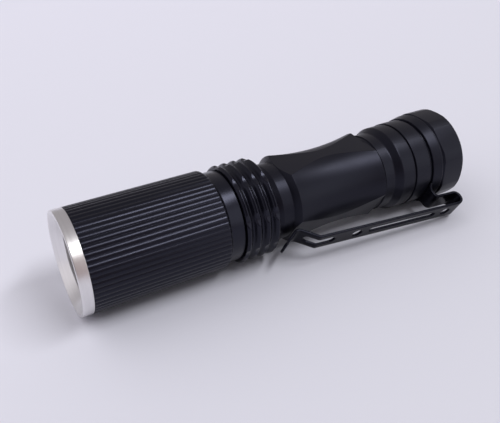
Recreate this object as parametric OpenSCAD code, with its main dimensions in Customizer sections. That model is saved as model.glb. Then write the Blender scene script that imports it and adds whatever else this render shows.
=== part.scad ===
// Zoom penlight in turned aluminium: one cylindrical lithium cell, a sliding lens head
// with a straight-fluted grip, a finned and scalloped collar, a waisted tube with three milled flats,
// a screwed tail cap with a push button, and a stamped pocket clip.
// The light lies on its side: +X is the way the beam leaves, +Z is up, and the origin is
// the centre of the tail end. Angles about the axis run from +Z (0) towards +Y (90).

/* [Cell] */
// Diameter of the cell
cell_d = 18.4; // [16:0.1:21]
// Length of the cell with its raised contact
cell_len = 65; // [60:0.5:70]
// Height of the cell's raised contact
cell_nub = 1; // [0.6:0.1:2]
// Diameter of the cell's raised contact
cell_nub_d = 6.4; // [4:0.1:9]
// Play between the cell and its bore, on the radius
cell_play = 0.25; // [0.15:0.05:0.5]

/* [Body tube] */
// Wall of the neck, over the cell's bore
neck_wall = 0.95; // [0.8:0.05:2]
// Length of the neck that shows
neck_len = 5.15; // [3:0.05:9]
// Length of the cone from the neck to the waisted stretch
neck_cone = 1.35; // [0.8:0.05:3]
// Length of the waisted stretch
waist_len = 27.4; // [22:0.1:32]
// Wall at the ends of the waisted stretch
waist_end_wall = 2.5; // [1.8:0.05:3.5]
// Wall in the middle of the waisted stretch
waist_mid_wall = 1.2; // [0.9:0.05:1.7]
// Wall under the milled flats
flat_wall = 1.05; // [0.7:0.05:1.15]
// Angle of the first milled flat
flat_angle = 1.5; // [-30:0.5:30]
// Number of milled flats
flat_count = 3; // [2:1:4]
// Length of the low band behind the waisted stretch
low_band_len = 4.1; // [2:0.1:7]
// Wall of the low band
low_band_wall = 1.5; // [1:0.05:2.2]
// Length of the cone behind the low band
rear_cone = 2.1; // [1:0.1:4]
// Length of the middle band
mid_band_len = 4.2; // [2:0.1:7]
// Wall of the middle band
mid_band_wall = 2.65; // [2:0.05:3.5]
// Width of the groove between the middle and the rear band
band_groove = 0.45; // [0.3:0.05:1]
// Depth of that groove
band_groove_depth = 0.45; // [0.2:0.05:0.8]
// Length of the rear band
rear_band_len = 5.1; // [3:0.1:8]
// Wall of the rear band
rear_band_wall = 2.85; // [2.3:0.05:3.5]
// Wall of the threaded spigot that goes into the collar
front_spigot_wall = 0.85; // [0.7:0.05:1.1]
// Length of that spigot
front_spigot_len = 6.5; // [4:0.1:8]
// Wall of the threaded spigot that goes into the tail cap
rear_spigot_wall = 1.4; // [1.2:0.05:1.8]

/* [Front barrel] */
// Number of cooling fins
fin_count = 4; // [3:1:6]
// Width of a fin at its crest
fin_crest = 1.4; // [1:0.05:2]
// Width of a groove between fins at its mouth
fin_groove = 1.35; // [1:0.05:2]
// Width of a groove at its floor
fin_floor = 0.35; // [0.3:0.05:1]
// Height of the fins over the groove floor
fin_height = 1.6; // [1:0.05:3]
// Wall of the collar under the grooves
fin_root_wall = 1.1; // [0.5:0.05:1.5]
// Number of scallops milled along the fins
scallop_count = 8; // [4:1:12]
// Depth of the scallops
scallop_depth = 0.5; // [0.2:0.05:0.9]
// Radius of the cutter that mills the scallops
scallop_cutter_r = 4; // [2:0.25:8]
// Angle of the first scallop
scallop_angle = 24; // [0:0.5:44]
// Bevel along the edges of the fins
fin_bevel = 0.35; // [0.05:0.05:0.5]
// Wall of the slide tube that the head runs on
slide_wall = 1.05; // [0.9:0.05:1.4]
// Step that stops the LED holder in the barrel
holder_step = 0.55; // [0.3:0.05:0.6]
// Length of the slide tube past the LED holder
slide_lip = 0.7; // [0.3:0.1:1.4]
// Thickness of the ring that stops the head
stop_ring_w = 1; // [0.6:0.1:1.6]
// How far the stop ring lies behind the tube's front end
stop_ring_back = 1.7; // [1:0.1:3]
// Thickness of the sliding O-ring
slide_seal_d = 1; // [0.8:0.05:1.1]

/* [Head] */
// Travel of the zoom
zoom_travel = 9; // [5:0.5:10]
// Gap between the drawn-in head and the collar
head_gap = 0.4; // [0.3:0.05:1]
// Length of the smooth band at the head's rear
head_band_len = 3.6; // [2:0.1:6]
// Wall of that band
head_band_wall = 1.3; // [0.9:0.05:1.8]
// Length of the bevel between the band and the flutes
head_bevel = 0.9; // [0.4:0.05:1.5]
// Wall of the fluted stretch
head_wall = 1.65; // [1.3:0.05:2.5]
// Number of flutes
flute_count = 55; // [30:1:60]
// Depth of a flute
flute_depth = 0.4; // [0.2:0.05:0.7]
// Share of the pitch that a flute takes
flute_share = 0.74; // [0.5:0.02:0.85]
// Angle of one ridge between flutes
flute_angle = 39; // [0:0.5:45]
// Play between the slide tube and the head
slide_play = 0.2; // [0.1:0.05:0.4]
// Step behind the stop ring
head_step = 0.65; // [0.5:0.05:1]
// Thickness of the shoulder that the lens sits on
lens_seat = 1.4; // [0.8:0.1:3]
// Width of that shoulder
lens_seat_lap = 1.4; // [0.8:0.1:2]

/* [Lens and bezel] */
// Thickness of the lens's rim
lens_rim = 2; // [1.2:0.1:3]
// Width of the lens's rim outside the dome
lens_rim_w = 1.85; // [1:0.05:3]
// Thickness of the gasket under the bezel
gasket_d = 1; // [0.6:0.05:1.5]
// Length of the bezel that shows
bezel_len = 2.75; // [2:0.05:5]
// Depth of the bezel's light dish
dish_depth = 2.7; // [1.5:0.1:2.75]
// Width of the bezel's front edge
bezel_edge = 0.25; // [0.15:0.05:1]
// Radius of the bezel's round front corner
bezel_round = 0.4; // [0.1:0.05:0.6]
// Depth of the lens's crown behind the bezel's front edge
crown_depth = 2.7; // [2:0.1:5]

/* [LED and driver] */
// Height of the driver's contact
contact_len = 2; // [1:0.1:4]
// Diameter of the driver's contact
contact_d = 5; // [3:0.1:8]
// Thickness of the driver board
driver_t = 1.2; // [0.8:0.1:2]
// Length of the LED holder
holder_len = 10.2; // [8:0.1:14]
// Thickness of the holder's front plate
holder_plate = 3; // [1.5:0.1:5]
// Wall of the holder's skirt
holder_wall = 1.4; // [1:0.1:2.5]
// Diameter of the wire hole in the holder
wire_hole = 2; // [1:0.1:3]
// Distance of the wire holes from the axis
wire_offset = 5; // [4:0.1:6]
// Thickness of the LED board
star_t = 1.5; // [1:0.1:2]
// Gap between the LED board and the edge of its holder, on the radius
star_inset = 0.85; // [0.3:0.05:2]
// Side of the LED's square base
led_side = 3.5; // [3:0.1:5]
// Thickness of the LED's base
led_base = 0.7; // [0.4:0.05:1.5]
// Radius of the LED's clear dome
led_dome = 1.3; // [0.8:0.05:1.4]
// Gap between the LED's dome and the lens with the head drawn in
focus_gap = 2.4; // [1:0.1:5]

/* [Tail cap] */
// Length of the tail cap
cap_len = 11.2; // [10:0.1:14]
// Length of the faceted stretch
facet_len = 7.7; // [5:0.1:9]
// Number of facets
facet_count = 8; // [6:1:12]
// Height of the lands between the facets
facet_depth = 0.7; // [0.3:0.05:0.9]
// Angle of one land
facet_angle = 21; // [0:0.5:45]
// Width of the groove in front of the facets
cap_groove = 0.6; // [0.3:0.05:1]
// Depth of that groove
cap_groove_depth = 0.75; // [0.2:0.05:0.9]
// Drop of the cap's front cone
cap_cone_drop = 0.7; // [0.2:0.05:1]
// Bevel round the tail end
cap_bevel = 0.7; // [0.3:0.05:1]
// Wall of the cap outside its thread
cap_wall = 2.15; // [1.8:0.05:3]
// Thickness of the cap's end wall
cap_end = 1.6; // [1.2:0.1:2.5]
// Thickness of the tail O-ring
tail_seal_d = 0.8; // [0.6:0.05:0.9]

/* [Tail switch] */
// Diameter of the button's hole in the cap
button_hole = 12.4; // [9:0.1:14]
// Depth of the button's crown behind the tail end
button_recess = 0.5; // [0.2:0.1:1]
// Thickness of the button
button_len = 1.7; // [1.2:0.1:2]
// Travel of the button
button_travel = 1.2; // [0.6:0.1:1.3]
// Gap round the button
button_gap = 0.3; // [0.2:0.05:0.5]
// Thickness of the boot's clamped rim
boot_rim = 2; // [1.6:0.1:3]
// Thickness of the switch board
board_t = 1; // [0.6:0.1:1.6]
// Diameter of the switch
switch_d = 10.4; // [8:0.1:12]
// Height of the switch
switch_len = 5.8; // [5:0.1:8]
// Diameter of the switch's plunger
plunger_d = 5.2; // [3:0.1:6]
// Length of the plunger
plunger_len = 3.8; // [3:0.1:4.5]
// Thickness of the ring that holds the switch
lock_ring_t = 1.3; // [0.8:0.1:2]
// Width of that ring
lock_ring_w = 2.3; // [1.5:0.1:3]
// Length of the tail spring
spring_len = 4.8; // [4:0.1:8]
// Diameter of the tail spring at its wire's middle
spring_d = 8; // [6:0.1:10]
// Diameter of the spring's wire
spring_wire = 0.6; // [0.4:0.05:0.8]
// Number of the spring's turns
spring_turns = 3.5; // [2:0.5:4]

/* [Pocket clip] */
// Thickness of the clip's sheet
clip_t = 0.7; // [0.5:0.05:1]
// Width of the clip at its rear turn
clip_w = 6.4; // [5:0.1:9]
// Width of the clip at its tip
clip_front_w = 6; // [4:0.1:8]
// Angle from the middle of the milled flat to the middle of the clip over it
clip_off = -3.5; // [-10:0.5:10]
// Gap between the cap's widest stretch and the clip's inner leg
clip_standoff = 1.8; // [1:0.1:3]
// Clear height inside the clip's rear turn
clip_turn = 2.9; // [2:0.1:5]
// How far the clip's rear turn stays in front of the tail end
clip_back = 3.5; // [1:0.1:6]
// Slope of the clip's arm, and of the leg beside the cap, towards the body
clip_slope = 5.1; // [2:0.1:6]
// Length along the axis from the bend at the arm's front to the crest
clip_ramp_len = 5.7; // [3:0.1:7]
// How far past the neck's cone the crest lies
clip_crest_past = 0.35; // [0.2:0.05:1]
// Gap between the clip's crest and the milled flat
clip_crest_gap = 0.45; // [0.3:0.05:0.6]
// Gap between the flared lip and the collar
clip_tip_gap = 0.5; // [0.4:0.05:1]
// Rise of the flared lip
clip_lip_rise = 2.7; // [1:0.1:4]
// Bend radius at the middle of the sheet
clip_bend = 1.2; // [0.8:0.1:1.8]
// Width of the slots in the clip
clip_slot_w = 3.2; // [1:0.1:4]
// Diameter of the holes in the clip
clip_hole_d = 3.2; // [1.5:0.1:4]
// Width of the clip's clamped ring
clip_ring_w = 0.9; // [0.5:0.05:1.1]
// Distance from the rear turn's end to the rear hole
clip_hole_a = 5.8; // [5:0.1:8]
// Distance from the rear turn's end to the long slot
clip_slot_a = 9.5; // [8:0.1:14]
// Distance from the long slot's front end to the arm's front bend
clip_slot_b = 15.95; // [12:0.05:20]
// Distance from the front hole to the arm's front bend
clip_hole_b = 12.15; // [9:0.05:14]
// Distance from the front slot's rear end to the arm's front bend
clip_front_a = 5.15; // [3:0.05:7]
// Distance from the front slot's front end to the crest
clip_front_b = 2.05; // [1:0.05:4]

/* [Fits] */
// Play in a thread or a push fit, on the radius
thread_play = 0.05; // [0.02:0.01:0.1]
// Play round a sliding or turning piece, on the radius
run_play = 0.15; // [0.1:0.05:0.3]
// Play between the clip's ring and the faces that clamp it
clamp_play = 0.05; // [0.02:0.01:0.1]

/* [Hidden] */

$fn = 96;
cut = 1;
black = [0.09, 0.09, 0.1];
silver = [0.85, 0.85, 0.86];
rubber_black = [0.06, 0.06, 0.065];

// Radii, from the cell outwards
bore_r = cell_d / 2 + cell_play;
neck_r = bore_r + neck_wall;
waist_end_r = bore_r + waist_end_wall;
waist_mid_r = bore_r + waist_mid_wall;
flat_r = bore_r + flat_wall;
low_band_r = bore_r + low_band_wall;
mid_band_r = bore_r + mid_band_wall;
rear_band_r = bore_r + rear_band_wall;
front_spigot_r = bore_r + front_spigot_wall;
collar_bore_r = front_spigot_r + thread_play;
fin_root_r = collar_bore_r + fin_root_wall;
fin_r = fin_root_r + fin_height;
slide_r = bore_r + slide_wall;
holder_bore_r = bore_r - holder_step;
holder_r = holder_bore_r - thread_play;
star_r = holder_r - star_inset;
lip_bore_r = slide_r + slide_play;
head_bore_r = lip_bore_r + head_step;
head_band_r = lip_bore_r + head_band_wall;
head_r = head_bore_r + head_wall;
lens_r = head_bore_r - 2 * thread_play;
dome_r = lens_r - lens_rim_w;
seat_r = lens_r - lens_seat_lap;
dish_r = dome_r + run_play;
rear_spigot_r = bore_r + 0.1 + rear_spigot_wall;
switch_bay_r = bore_r + 0.1;
cap_thread_r = rear_spigot_r + run_play;
cap_r = cap_thread_r + cap_wall;
cap_bay_r = switch_bay_r - run_play;
clip_hole_r = rear_spigot_r + run_play + 2 * thread_play;
clip_angle = flat_angle + 360 / flat_count + clip_off;

// Stations along the axis, from the tail end forwards
board_x = cap_end + boot_rim;
switch_x = board_x + board_t;
spring_x = switch_x + switch_len;
cell_x = spring_x + spring_len;
contact_x = cell_x + cell_len;
driver_x = contact_x + contact_len;
holder_x = driver_x + driver_t;
star_x = holder_x + holder_len;
led_x = star_x + star_t;
lens_x = led_x + led_base + led_dome + focus_gap;
gasket_x = lens_x + lens_rim;
slide_end_x = star_x + slide_lip;
cap_bay_x = switch_x + lock_ring_t;
rear_spigot_x = cap_bay_x + 2 * run_play;
clip_ring_x = cap_len + clamp_play;
rear_band_x = clip_ring_x + clip_t + clamp_play;
band_groove_x = rear_band_x + rear_band_len;
mid_band_x = band_groove_x + band_groove;
rear_cone_x = mid_band_x + mid_band_len;
low_band_x = rear_cone_x + rear_cone;
waist_x = low_band_x + low_band_len;
neck_cone_x = waist_x + waist_len;
neck_x = neck_cone_x + neck_cone;
collar_x = neck_x + neck_len;
collar_len = fin_count * fin_crest + (fin_count - 1) * fin_groove;
collar_end_x = collar_x + collar_len;
head_x = collar_end_x + head_gap;
flute_x = head_x + head_band_len + head_bevel;
stop_x = slide_end_x - stop_ring_back - stop_ring_w;
lip_end_x = stop_x - zoom_travel - 2 * run_play;
slide_seal_x = (head_x + zoom_travel + lip_end_x) / 2;
crown_r = (pow(dome_r, 2) + pow(bezel_front_x() - crown_depth - gasket_x, 2))
    / (2 * (bezel_front_x() - crown_depth - gasket_x));
bezel_x = bezel_front_x() - bezel_len;

// The dome is a half ball, so its height is its radius
function bezel_front_x() = gasket_x + dome_r + crown_depth;

// A solid of revolution about the axis, from points given as [radius, station]
module turned(points) {
    rotate([0, 90, 0]) rotate_extrude() polygon(points);
}

// A plain ring between two stations
module ring(x0, x1, inner_r, outer_r) {
    turned([[inner_r, x0], [outer_r, x0], [outer_r, x1], [inner_r, x1]]);
}

// A solid rod between two stations
module rod(x0, x1, r) {
    translate([x0, 0, 0]) rotate([0, 90, 0]) cylinder(r = r, h = x1 - x0);
}

// A round-section ring of the given wire round the axis
module round_ring(x, mid_r, wire_d) {
    translate([x, 0, 0]) rotate([0, 90, 0])
        rotate_extrude() translate([mid_r, 0]) circle(d = wire_d, $fn = 32);
}

// What a mill takes off outside a flat, for each flat round the axis
module flat_cuts(x0, x1, inner_r, outer_r, first_angle) {
    for (k = [0 : flat_count - 1])
        rotate([-(first_angle + k * 360 / flat_count), 0, 0])
            translate([x0, -outer_r, inner_r])
                cube([x1 - x0, 2 * outer_r, outer_r - inner_r + cut]);
}

// The tube: a stepped and waisted outside, three milled flats, the cell's bore,
// a spigot for the collar in front and one for the tail cap behind
module body_tube() {
    seal_w = tail_seal_d + 2 * run_play;
    arc_h = waist_end_r - waist_mid_r;
    arc_r = (pow(waist_len / 2, 2) + pow(arc_h, 2)) / (2 * arc_h);
    color(black) difference() {
        rotate([0, 90, 0]) rotate_extrude() difference() {
            polygon([[0, rear_spigot_x], [rear_spigot_r, rear_spigot_x],
                [rear_spigot_r, rear_band_x], [rear_band_r, rear_band_x],
                [rear_band_r, band_groove_x], [rear_band_r - band_groove_depth, band_groove_x],
                [rear_band_r - band_groove_depth, mid_band_x], [mid_band_r, mid_band_x],
                [mid_band_r, rear_cone_x], [low_band_r, low_band_x], [low_band_r, waist_x],
                [waist_end_r, waist_x], [waist_end_r, neck_cone_x], [neck_r, neck_x],
                [neck_r, collar_x], [front_spigot_r, collar_x],
                [front_spigot_r, collar_x + front_spigot_len], [0, collar_x + front_spigot_len]]);
            translate([waist_mid_r + arc_r, waist_x + waist_len / 2]) circle(r = arc_r, $fn = 180);
        }
        flat_cuts(waist_x, neck_x, flat_r, waist_end_r, flat_angle);
        rod(cell_x - spring_len / 4, collar_x + front_spigot_len + cut, bore_r);
        rod(rear_spigot_x - cut, cell_x - spring_len / 4, switch_bay_r);
        ring(tail_seal_x() - seal_w / 2, tail_seal_x() + seal_w / 2,
            tail_seal_floor_r(), rear_spigot_r + cut);
    }
}

// The O-ring's groove lies between the thread and the rear band
function tail_seal_x() = rear_band_x - clip_t - tail_seal_d - 4 * run_play;
function tail_seal_floor_r() = cap_thread_r - thread_play - tail_seal_d - thread_play;

module tail_o_ring() {
    color(rubber_black)
        round_ring(tail_seal_x(), cap_thread_r - thread_play - tail_seal_d / 2, tail_seal_d);
}

// The outline of one fin, as [radius, station], with its bevelled edges
function fin_points(x, first, last) = let (side = (fin_groove - fin_floor) / 2) concat(
    first ? [[fin_root_r, x]] : [[fin_root_r, x - side]],
    [[fin_r - fin_bevel, x], [fin_r, x + fin_bevel], [fin_r, x + fin_crest - fin_bevel],
        [fin_r - fin_bevel, x + fin_crest]],
    last ? [[fin_root_r, x + fin_crest]] : [[fin_root_r, x + fin_crest + side]]);

// What a round cutter takes off the crests of the fins, all round the axis
module scallop_cuts(x0, x1) {
    for (k = [0 : scallop_count - 1])
        rotate([-(scallop_angle + k * 360 / scallop_count), 0, 0])
            translate([0, 0, fin_r - scallop_depth + scallop_cutter_r])
                rod(x0, x1, scallop_cutter_r);
}

// The barrel: a finned collar that screws on the tube, and the tube that the head slides on
module front_barrel() {
    pitch = fin_crest + fin_groove;
    spigot_end_x = collar_x + front_spigot_len + run_play;
    fins = [for (k = [0 : fin_count - 1])
        each fin_points(collar_x + k * pitch, k == 0, k == fin_count - 1)];
    seal_w = slide_seal_d + 2 * thread_play;
    color(black) difference() {
        turned(concat([[0, collar_x]], fins,
            [[slide_r, collar_end_x], [slide_r, slide_end_x], [0, slide_end_x]]));
        scallop_cuts(collar_x - cut, collar_end_x + cut);
        rod(collar_x - cut, spigot_end_x, collar_bore_r);
        rod(spigot_end_x - cut, contact_x + run_play, bore_r);
        rod(contact_x, slide_end_x + cut, holder_bore_r);
        ring(slide_seal_x - seal_w / 2, slide_seal_x + seal_w / 2,
            slide_seal_floor_r(), slide_r + cut);
        ring(stop_x - thread_play, stop_x + stop_ring_w + thread_play,
            stop_floor_r(), slide_r + cut);
    }
}

function slide_seal_floor_r() = lip_bore_r - thread_play - slide_seal_d - thread_play;
function stop_floor_r() = slide_r - head_step + run_play;

module slide_o_ring() {
    color(rubber_black)
        round_ring(slide_seal_x, lip_bore_r - thread_play - slide_seal_d / 2, slide_seal_d);
}

// A spring ring, open on one side, that keeps the head from being pulled off
module stop_ring() {
    open_w = 2;
    color([0.6, 0.6, 0.62]) difference() {
        ring(stop_x, stop_x + stop_ring_w, stop_floor_r() + thread_play,
            head_bore_r - run_play);
        translate([stop_x - cut, -open_w / 2, 0])
            cube([stop_ring_w + 2 * cut, open_w, head_bore_r + cut]);
    }
}

// The LED holder: a turned cup, closed in front, with two holes for the wires
module led_holder() {
    color([0.72, 0.6, 0.3]) difference() {
        rod(holder_x, star_x, holder_r);
        rod(holder_x - cut, star_x - holder_plate, holder_r - holder_wall);
        for (side = [-1, 1])
            translate([0, side * wire_offset, 0])
                rod(star_x - holder_plate - cut, star_x + cut, wire_hole / 2);
    }
}

// The LED's round board, with the notches for screws and wires
module led_board() {
    notches = 6;
    notch_d = 3;
    color([0.93, 0.93, 0.9]) difference() {
        rod(star_x, led_x, star_r);
        for (k = [0 : notches - 1])
            rotate([k * 360 / notches + 90, 0, 0])
                translate([0, 0, star_r]) rod(star_x - cut, led_x + cut, notch_d / 2);
    }
}

module led_base_chip() {
    color([0.95, 0.95, 0.93])
        translate([led_x, -led_side / 2, -led_side / 2]) cube([led_base, led_side, led_side]);
}

module led_clear_dome() {
    color([0.95, 0.9, 0.45]) intersection() {
        translate([led_x + led_base, 0, 0]) sphere(r = led_dome, $fn = 48);
        rod(led_x + led_base, led_x + led_base + led_dome + cut, led_dome + cut);
    }
}

module driver_board() {
    color([0.1, 0.35, 0.16]) rod(driver_x, holder_x, holder_bore_r - 2 * run_play);
}

module driver_contact() {
    tip_bevel = 0.4;
    color([0.8, 0.65, 0.3]) turned([[0, contact_x], [contact_d / 2 - tip_bevel, contact_x],
        [contact_d / 2, contact_x + tip_bevel], [contact_d / 2, driver_x], [0, driver_x]]);
}

// The cell, with its rounded rim and the crimp under its front end
module battery_cell() {
    rim = 0.6;
    crimp_back = 3.2;
    crimp_w = 0.8;
    crimp_depth = 0.4;
    front = contact_x - cell_nub;
    r = cell_d / 2;
    color([0.16, 0.3, 0.52]) turned([[0, cell_x], [r - rim, cell_x], [r, cell_x + rim],
        [r, front - crimp_back - crimp_w], [r - crimp_depth, front - crimp_back - crimp_w / 2],
        [r, front - crimp_back], [r, front - rim], [r - rim, front], [0, front]]);
}

module battery_contact() {
    color([0.8, 0.8, 0.82]) rod(contact_x - cell_nub, contact_x, cell_nub_d / 2);
}

// The paper ring round the cell's raised contact
module battery_insulator() {
    paper = 0.3;
    rim = 1;
    color([0.94, 0.94, 0.92]) ring(contact_x - cell_nub, contact_x - cell_nub + paper,
        cell_nub_d / 2 + thread_play, cell_d / 2 - rim);
}

// The fluted outline of the head, across the axis
module fluted_outline() {
    pitch = 360 / flute_count;
    half_w = head_r * sin(pitch * flute_share / 2);
    flute_r = (pow(half_w, 2) + pow(flute_depth, 2)) / (2 * flute_depth);
    difference() {
        circle(r = head_r);
        for (k = [0 : flute_count - 1])
            rotate(180 - flute_angle + (k + 0.5) * pitch)
                translate([head_r - flute_depth + flute_r, 0]) circle(r = flute_r, $fn = 24);
    }
}

// The sliding head: straight flutes outside, and inside the lip that runs on the slide tube,
// the clear bore past the stop ring and the shoulder under the lens
module head_shell() {
    end_bevel = 0.3;
    color(black) difference() {
        intersection() {
            turned([[0, head_x], [head_band_r - end_bevel, head_x],
                [head_band_r, head_x + end_bevel], [head_band_r, head_x + head_band_len],
                [head_r, flute_x], [head_r, bezel_x - end_bevel / 2],
                [head_r - end_bevel / 2, bezel_x], [0, bezel_x]]);
            translate([head_x, 0, 0]) rotate([0, 90, 0])
                linear_extrude(height = bezel_x - head_x) fluted_outline();
        }
        rod(head_x - cut, lip_end_x + cut, lip_bore_r);
        rod(lip_end_x, lens_x - lens_seat, head_bore_r);
        rod(lens_x - lens_seat - cut, lens_x + cut, seat_r);
        rod(lens_x, bezel_x + cut, head_bore_r);
    }
}

// The lens: a flat-backed half ball with a rim
module lens() {
    color([0.85, 0.92, 0.95, 0.5]) union() {
        rod(lens_x, gasket_x, lens_r);
        intersection() {
            translate([gasket_x + dome_r - crown_r, 0, 0]) sphere(r = crown_r);
            rod(gasket_x - lens_rim / 2, gasket_x + dome_r + cut, dome_r);
        }
    }
}

module lens_gasket() {
    color(rubber_black) round_ring(gasket_x + gasket_d / 2 + thread_play,
        head_bore_r - gasket_d / 2 - thread_play, gasket_d);
}

// The bezel: a light dish in front of the lens, on a threaded sleeve that holds the lens down
module bezel_ring() {
    sleeve_x = gasket_x + gasket_d + 2 * thread_play;
    front = bezel_front_x();
    edge_r = head_r - bezel_round - bezel_edge;
    color(silver) difference() {
        union() {
            ring(sleeve_x, bezel_x + cut, dish_r, head_bore_r - thread_play);
            rotate([0, 90, 0]) rotate_extrude() {
                polygon([[dish_r, bezel_x], [head_r, bezel_x], [head_r, front - bezel_round],
                    [head_r - bezel_round, front - bezel_round], [head_r - bezel_round, front],
                    [dish_r, front]]);
                translate([head_r - bezel_round, front - bezel_round])
                    circle(r = bezel_round, $fn = 32);
            }
        }
        turned([[0, front - dish_depth], [dish_r, front - dish_depth], [edge_r, front],
            [edge_r, front + cut], [0, front + cut]]);
    }
}

// The tail cap: facets between narrow lands, a groove, a cone towards the clip's ring,
// a threaded bore, and a bay for the switch behind an end wall
module tail_cap() {
    land_r = (cap_r - facet_depth) / cos(180 / facet_count);
    cone_x = facet_len + cap_groove;
    floor_r = cap_r - cap_groove_depth;
    color(black) difference() {
        union() {
            intersection() {
                turned([[0, 0], [cap_r - cap_bevel, 0], [cap_r, cap_bevel],
                    [cap_r, facet_len - cap_bevel / 2], [cap_r - cap_bevel / 2, facet_len],
                    [0, facet_len]]);
                rotate([-facet_angle, 0, 0]) rotate([0, 90, 0])
                    cylinder(r = land_r, h = facet_len, $fn = facet_count);
            }
            turned([[0, facet_len - cut], [floor_r - facet_depth / 2, facet_len - cut],
                [floor_r, facet_len], [floor_r, cone_x],
                [cap_r - cap_bevel / 4, cone_x], [cap_r - cap_cone_drop, cap_len], [0, cap_len]]);
        }
        rod(-cut, cap_end + cut, button_hole / 2);
        rod(cap_end, cap_bay_x + cut, cap_bay_r);
        rod(cap_bay_x, cap_len + cut, cap_thread_r);
    }
}

// The clamped rim of the rubber boot
module boot_rim_seal() {
    color(rubber_black) ring(cap_end, board_x, button_hole / 2, cap_bay_r - run_play);
}

// The crown of the rubber boot, which goes in when it is pressed
module button_boot() {
    r = button_hole / 2 - button_gap;
    crown = 0.5;
    front = button_recess;
    color(rubber_black) rotate([0, 90, 0]) rotate_extrude() {
        polygon([[0, front], [r - crown, front], [r - crown, front + crown], [r, front + crown],
            [r, front + button_len], [0, front + button_len]]);
        intersection() {
            translate([r - crown, front + crown]) circle(r = crown, $fn = 32);
            translate([r - crown, front]) square(crown);
        }
    }
}

module switch_board() {
    color([0.1, 0.35, 0.16])
        ring(board_x, switch_x, plunger_d / 2 + 2 * run_play, cap_bay_r - run_play);
}

// The switch: a round housing with the well that the plunger goes into
module switch_housing() {
    well_x = button_recess + button_len + plunger_len + button_travel + 2 * run_play;
    color([0.12, 0.12, 0.13]) difference() {
        rod(switch_x, spring_x, switch_d / 2);
        rod(switch_x - cut, well_x, plunger_d / 2 + 2 * run_play);
    }
}

module switch_plunger() {
    front = button_recess + button_len;
    color([0.9, 0.9, 0.88]) rod(front, front + plunger_len, plunger_d / 2);
}

// The threaded ring that holds the switch in the cap, with two slots for a key
module switch_lock_ring() {
    key_w = 1.6;
    outer_r = cap_bay_r - thread_play;
    color([0.75, 0.75, 0.77]) difference() {
        ring(switch_x, cap_bay_x, outer_r - lock_ring_w, outer_r);
        translate([cap_bay_x - lock_ring_t / 2, -outer_r - cut, -key_w / 2])
            cube([lock_ring_t, 2 * (outer_r + cut), key_w]);
    }
}

// Points along the tail spring's wire, and the least gap that they leave between turns
spring_rings = 16;
spring_steps = spring_turns * spring_rings;
function spring_point(i) = let (a = i * 360 / spring_rings)
    [spring_x + spring_wire / 2 + clamp_play
        + (spring_len - spring_wire - 2 * clamp_play) * i / spring_steps,
        spring_d / 2 * sin(a), spring_d / 2 * cos(a)];
spring_gap = min([for (i = [0 : spring_steps - spring_rings])
    norm(spring_point(i + spring_rings) - spring_point(i))]) - spring_wire;
echo(spring_gap = spring_gap);

module tail_spring() {
    sides = 6;
    points = [for (i = [0 : spring_steps]) let (
            a = i * 360 / spring_rings,
            out = [0, sin(a), cos(a)],
            along = spring_point(i + 1) - spring_point(i),
            across = cross(along, out) / norm(cross(along, out)))
        for (s = [0 : sides - 1]) spring_point(i)
            + spring_wire / 2 * (cos(s * 360 / sides) * out + sin(s * 360 / sides) * across)];
    walls = [for (i = [0 : spring_steps - 1]) for (s = [0 : sides - 1])
        let (n = (s + 1) % sides, base = i * sides, next = base + sides)
        each [[base + s, next + s, next + n], [base + s, next + n, base + n]]];
    last = spring_steps * sides;
    ends = [for (s = [1 : sides - 2])
        each [[0, s, s + 1], [last, last + s + 1, last + s]]];
    color([0.8, 0.78, 0.7]) polyhedron(points, concat(walls, ends));
}

// A round bend at corner q between p and s, as points along its arc
bend_steps = 6;
function unit(v) = v / norm(v);
function bend(p, q, s, r) = let (
        a = unit(p - q),
        b = unit(s - q),
        half = acos(a * b) / 2,
        centre = q + unit(a + b) * r / sin(half),
        start = q + a * r / tan(half) - centre,
        turn = (180 - 2 * half) * sign(start[1] * a[0] - start[0] * a[1]))
    [for (i = [0 : bend_steps]) let (t = turn * i / bend_steps) centre
        + [start[0] * cos(t) - start[1] * sin(t), start[0] * sin(t) + start[1] * cos(t)]];

// The strip on both sides of a line of points, t thick
function side_point(path, i, d) = let (
        back = i == 0 ? unit(path[1] - path[0]) : unit(path[i] - path[i - 1]),
        ahead = i == len(path) - 1 ? back : unit(path[i + 1] - path[i]),
        n = unit([-(back + ahead)[1], (back + ahead)[0]]))
    path[i] + n * d / (n * [-back[1], back[0]]);
function strip(path, t) = concat(
    [for (i = [0 : len(path) - 1]) side_point(path, i, t / 2)],
    [for (i = [len(path) - 1 : -1 : 0]) side_point(path, i, -t / 2)]);

// A slot with round ends, from station x0 to x1, cut outwards from radius r0
module slot_cut(x0, x1, w, r0, r1) {
    translate([0, 0, r0]) linear_extrude(height = r1 - r0) {
        translate([x0 + w / 2, -w / 2]) square([x1 - x0 - w, w]);
        translate([x0 + w / 2, 0]) circle(d = w, $fn = 32);
        translate([x1 - w / 2, 0]) circle(d = w, $fn = 32);
    }
}

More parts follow.
